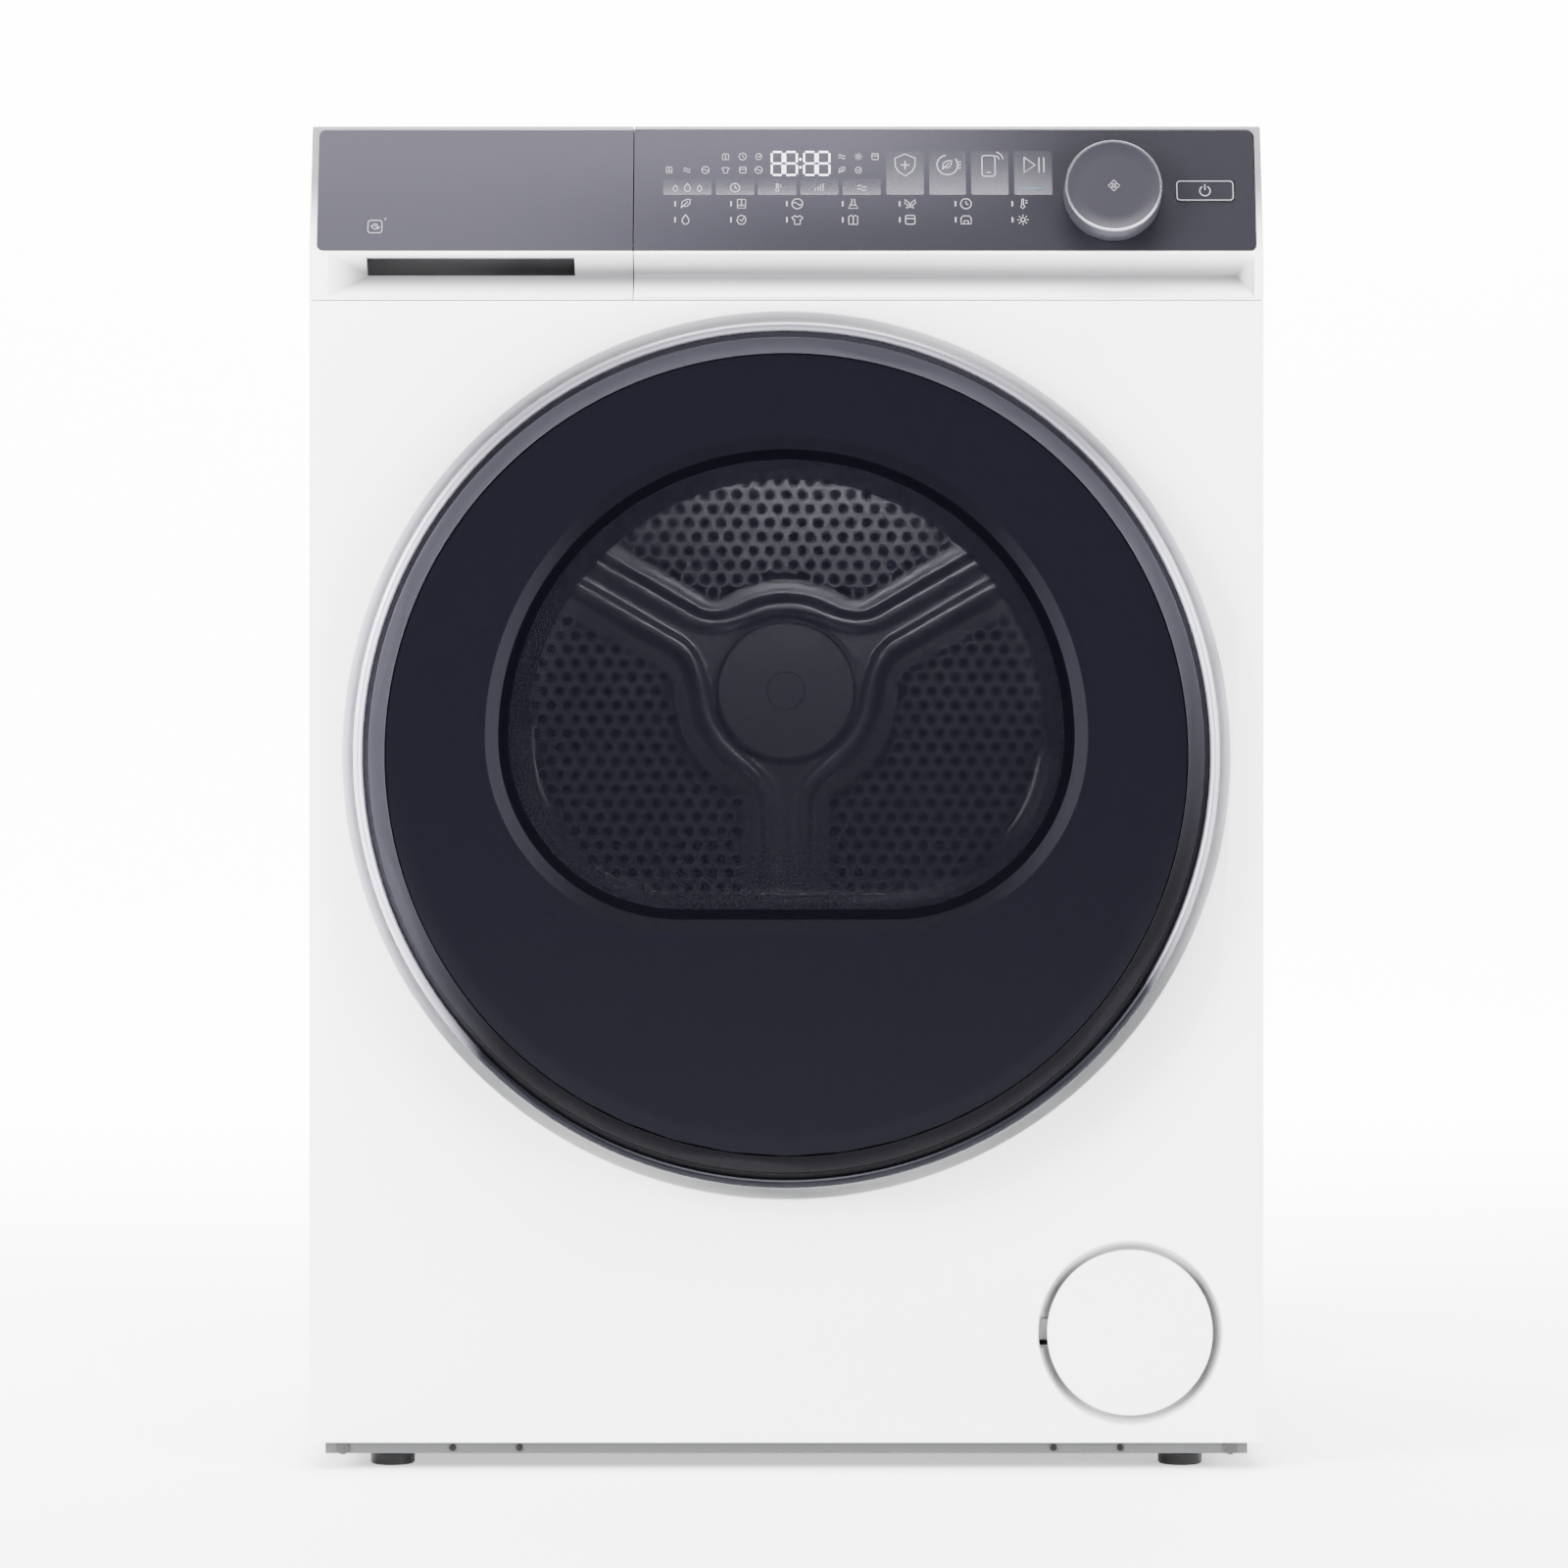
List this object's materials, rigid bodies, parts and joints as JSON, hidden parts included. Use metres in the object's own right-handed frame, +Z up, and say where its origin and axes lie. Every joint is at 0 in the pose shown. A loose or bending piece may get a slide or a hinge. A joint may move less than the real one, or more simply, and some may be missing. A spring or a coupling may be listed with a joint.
{
  "type": "clothes dryer",
  "caption": "Front-loading clothes dryer with a round dark glass door, a leaning control panel with a dial, a tank drawer and a round filter flap.",
  "frame": {"origin": "on the floor, under the middle of the machine's overall box", "axes": "+Z up, the door faces -Y, +X to the right as seen from the front"},
  "size_m": [0.6, 0.65, 0.848],
  "materials": {
    "white_steel": "smooth white powder coat",
    "zinc_steel": "plain zinc coat",
    "white_plastic": "fine satin white",
    "grey_fascia": "satin silver grey",
    "silver_trim": "satin silver lacquer",
    "grey_trim": "satin grey lacquer",
    "light_plastic": "moulded light grey",
    "dark_plastic": "moulded dark grey",
    "clear_plastic": "cloudy translucent",
    "dark_glass": "dark printed glass",
    "bowl_glass": "clear moulded bowl",
    "felt": "dense felt",
    "filter_mesh": "fine filter cloth",
    "rubber": "black rubber",
    "drum_steel": "bright stainless",
    "cast_alloy": "die cast",
    "fin_alloy": "thin bright fins",
    "copper": "copper tube",
    "black_steel": "black enamel",
    "pin_steel": "turned steel",
    "board": "coated circuit board"
  },
  "bodies": {
    "cabinet": {"base_tray": "dark_plastic", "left_side_panel": "white_steel", "right_side_panel": "white_steel", "rear_panel": "zinc_steel", "front_panel": "white_steel", "top_panel": "white_steel", "console_frame": "white_plastic", "control_fascia": "grey_fascia", "control_board": "board", "drawer_housing": "light_plastic", "front_bulkhead": "light_plastic", "front_felt_seal": "felt", "lint_filter": "filter_mesh", "rear_duct_cover": "zinc_steel", "drum_bearing": "cast_alloy", "drive_motor": "black_steel", "compressor": "black_steel", "evaporator": "fin_alloy", "condenser": "fin_alloy", "refrigerant_pipes": "copper", "heat_pump_cover": "dark_plastic", "fan_housing": "dark_plastic", "condensate_pump": "dark_plastic", "condensate_hose": "rubber", "heat_exchanger_filter": "filter_mesh", "flap_frame": "light_plastic", "door_catch": "pin_steel", "door_hinge_bracket": "pin_steel", "drive_belt": "rubber", "mains_inlet_gland": "dark_plastic", "cabinet_screws": "pin_steel", "idler_bracket": "zinc_steel"},
    "door": {"door_ring": "silver_trim", "door_bezel": "grey_trim", "door_glass": "dark_glass", "door_bowl": "bowl_glass", "door_inner_frame": "light_plastic", "door_seal": "rubber", "door_hook": "pin_steel", "door_hinge_pin": "pin_steel"},
    "tank_drawer": {"drawer_front": "white_plastic", "drawer_fascia": "grey_fascia", "water_tank": "clear_plastic"},
    "dial": {"dial_knob": "silver_trim"},
    "power_key": {"power_button": "grey_fascia"},
    "flap": {"filter_flap": "white_plastic"},
    "drum": {"drum_shell": "drum_steel", "drum_back": "drum_steel", "drum_lifters": "light_plastic", "drum_hub": "cast_alloy"},
    "motor": {"motor_rotor": "pin_steel", "fan_impeller": "dark_plastic"},
    "tensioner": {"idler_pulley": "dark_plastic"},
    "left_roller": {"roller_left": "dark_plastic"},
    "right_roller": {"roller_right": "dark_plastic"},
    "front_left_foot": {"foot_front_left": "dark_plastic"},
    "front_right_foot": {"foot_front_right": "dark_plastic"},
    "rear_left_foot": {"foot_rear_left": "dark_plastic"},
    "rear_right_foot": {"foot_rear_right": "dark_plastic"}
  },
  "joints": [
    {"name": "drum_spin", "type": "hinge", "parent": "cabinet", "child": "drum", "pos_m": [0, 0, 0.5], "axis": [0, 1, 0], "continuous": true},
    {"name": "door_hinge", "type": "hinge", "parent": "cabinet", "child": "door", "pos_m": [0.25, -0.308, 0.449], "axis": [0, 0, 1], "range_deg": [0, 140]},
    {"name": "drawer_slide", "type": "slide", "parent": "cabinet", "child": "tank_drawer", "axis": [0, -1, 0], "range_m": [0, 0.4]},
    {"name": "dial_spin", "type": "hinge", "parent": "cabinet", "child": "dial", "pos_m": [0.2054, -0.28422, 0.80174], "axis": [0, -0.9659, 0.2588], "continuous": true},
    {"name": "power_press", "type": "slide", "parent": "cabinet", "child": "power_key", "axis": [0, 0.9659, -0.2588], "range_m": [0, 0.0012], "stiffness_N_per_m": 400},
    {"name": "flap_hinge", "type": "hinge", "parent": "cabinet", "child": "flap", "pos_m": [0.15, -0.285, 0.086], "axis": [0, 0, -1], "range_deg": [0, 90]},
    {"name": "motor_spin", "type": "hinge", "parent": "cabinet", "child": "motor", "pos_m": [0.03, 0, 0.105], "axis": [0, 1, 0], "continuous": true},
    {"name": "idler_spin", "type": "hinge", "parent": "cabinet", "child": "tensioner", "pos_m": [-0.06086, 0, 0.14629], "axis": [0, 1, 0], "continuous": true},
    {"name": "roller_left_spin", "type": "hinge", "parent": "cabinet", "child": "left_roller", "pos_m": [-0.14915, 0, 0.24166], "axis": [0, 1, 0], "continuous": true},
    {"name": "roller_right_spin", "type": "hinge", "parent": "cabinet", "child": "right_roller", "pos_m": [0.14915, 0, 0.24166], "axis": [0, 1, 0], "continuous": true},
    {"name": "front_left_foot_screw", "type": "slide", "parent": "cabinet", "child": "front_left_foot", "axis": [0, 0, -1], "range_m": [0, 0.015]},
    {"name": "front_right_foot_screw", "type": "slide", "parent": "cabinet", "child": "front_right_foot", "axis": [0, 0, -1], "range_m": [0, 0.015]},
    {"name": "rear_left_foot_screw", "type": "slide", "parent": "cabinet", "child": "rear_left_foot", "axis": [0, 0, -1], "range_m": [0, 0.015]},
    {"name": "rear_right_foot_screw", "type": "slide", "parent": "cabinet", "child": "rear_right_foot", "axis": [0, 0, -1], "range_m": [0, 0.015]}
  ],
  "couplings": [
    {"joint": "motor_spin", "follows": "drum_spin", "ratio": 35},
    {"joint": "idler_spin", "follows": "drum_spin", "ratio": -14},
    {"joint": "roller_left_spin", "follows": "drum_spin", "ratio": -15.556},
    {"joint": "roller_right_spin", "follows": "drum_spin", "ratio": -15.556}
  ]
}
